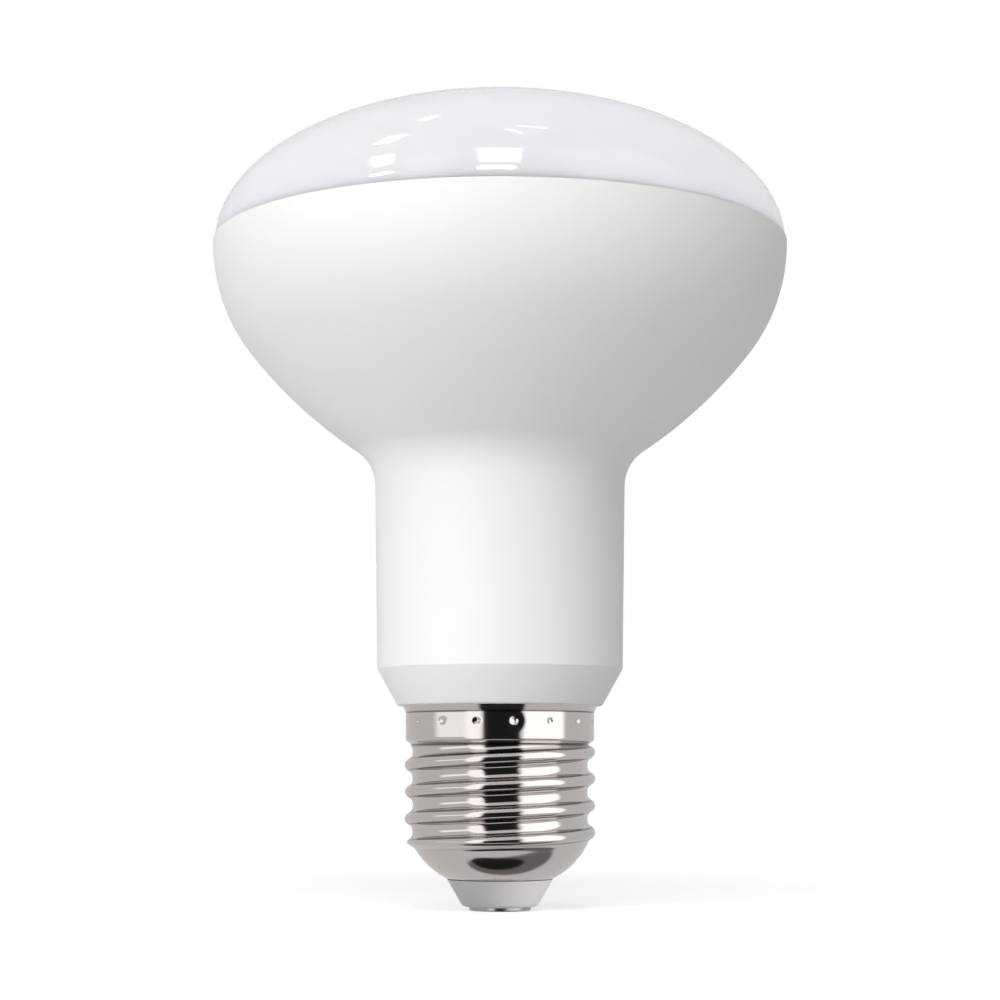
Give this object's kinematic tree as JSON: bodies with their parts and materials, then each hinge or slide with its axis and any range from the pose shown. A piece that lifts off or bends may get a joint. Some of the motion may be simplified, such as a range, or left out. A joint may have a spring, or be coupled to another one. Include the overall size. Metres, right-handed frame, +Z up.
{
  "type": "reflector bulb",
  "caption": "Reflector lamp with a wide dished housing, a domed opal diffuser, a straight neck and an Edison screw cap with a centre contact.",
  "frame": {"origin": "centre of the centre contact's underside", "axes": "+Z up the lamp's axis, from the cap to the diffuser; -Y is the side that the picture shows"},
  "size_m": [0.08, 0.08, 0.1117],
  "materials": {
    "diffuser": "glossy opal",
    "housing": "satin white moulding",
    "screw_shell": "bright nickel plate",
    "insulator": "smooth moulding",
    "centre_contact": "bright plate"
  },
  "bodies": {
    "root": {"diffuser": "diffuser", "housing": "housing", "screw_shell": "screw_shell", "insulator": "insulator", "centre_contact": "centre_contact"}
  },
  "joints": []
}
